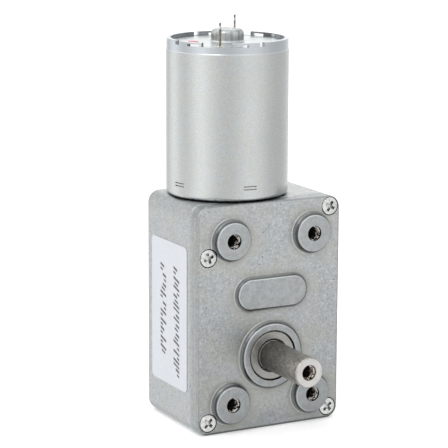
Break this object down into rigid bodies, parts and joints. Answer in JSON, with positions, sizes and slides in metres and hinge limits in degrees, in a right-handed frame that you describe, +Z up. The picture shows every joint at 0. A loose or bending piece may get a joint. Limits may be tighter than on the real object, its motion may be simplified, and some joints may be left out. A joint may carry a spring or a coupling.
{
  "type": "geared dc motor",
  "caption": "Right-angle worm gearmotor: die-cast gearbox with tapped mounting bosses and a round output shaft, and a cylindrical brushed motor standing on top.",
  "frame": {"origin": "on the output shaft's axis, in the plane of the four mounting bosses' faces", "axes": "-Y along the output shaft, out of the gearbox; +Z up, towards the motor; +X to the right seen from the shaft side"},
  "size_m": [0.0322, 0.0404, 0.0808],
  "materials": {
    "cast_zinc": "satin as-cast zinc alloy, fine mottling",
    "screw_zinc": "bright zinc plate",
    "label_film": "matt white film",
    "sintered_steel": "turned sintered steel",
    "shaft_steel": "ground steel, pale turned end",
    "gear_steel": "cut steel",
    "washer_steel": "pressed steel",
    "gear_brass": "cut brass",
    "can_steel": "satin zinc-plated deep-drawn steel",
    "sintered_bronze": "sintered bronze",
    "ferrite": "moulded ferrite",
    "nylon": "moulded nylon",
    "spring_copper": "copper alloy strip",
    "carbon": "pressed carbon",
    "terminal_copper": "tinned copper alloy, worn",
    "lamination_steel": "stacked laminations",
    "insulation": "moulded insulation",
    "enamel_wire": "enamelled copper wire",
    "phenolic": "moulded phenolic"
  },
  "bodies": {
    "case": {"gearbox_housing": "cast_zinc", "front_cover": "cast_zinc", "cover_screws": "screw_zinc", "rating_label": "label_film", "front_bush": "sintered_steel", "rear_bush": "sintered_steel", "shaft_washers": "washer_steel", "idler_pin": "gear_steel", "idler_washers": "washer_steel", "motor_screws": "screw_zinc", "motor_can": "can_steel", "motor_front_bush": "sintered_bronze", "motor_rear_bush": "sintered_bronze", "motor_end_plate": "can_steel", "magnets": "ferrite", "magnet_clip": "washer_steel", "brush_holder": "nylon", "brush_springs": "spring_copper", "brushes": "carbon", "terminals": "terminal_copper"},
    "rotor": {"motor_shaft": "gear_steel", "worm": "gear_brass", "armature_core": "lamination_steel", "armature_insulators": "insulation", "windings": "enamel_wire", "commutator_hub": "phenolic", "commutator_segments": "spring_copper", "rotor_spacers": "nylon"},
    "idler": {"worm_wheel": "gear_brass", "idler_pinion": "gear_steel"},
    "output": {"output_shaft": "shaft_steel", "output_gear": "gear_steel"}
  },
  "joints": [
    {"name": "rotor_spin", "type": "hinge", "parent": "case", "child": "rotor", "pos_m": [-0.0032, 0.0142, 0], "axis": [0, 0, 1], "continuous": true},
    {"name": "idler_spin", "type": "hinge", "parent": "case", "child": "idler", "pos_m": [0.0046, 0, 0.0128], "axis": [0, -1, 0], "continuous": true},
    {"name": "output_spin", "type": "hinge", "parent": "case", "child": "output", "pos_m": [0, 0, 0], "axis": [0, -1, 0], "continuous": true}
  ],
  "couplings": [
    {"joint": "idler_spin", "follows": "rotor_spin", "ratio": 0.1},
    {"joint": "output_spin", "follows": "rotor_spin", "ratio": -0.061905}
  ]
}
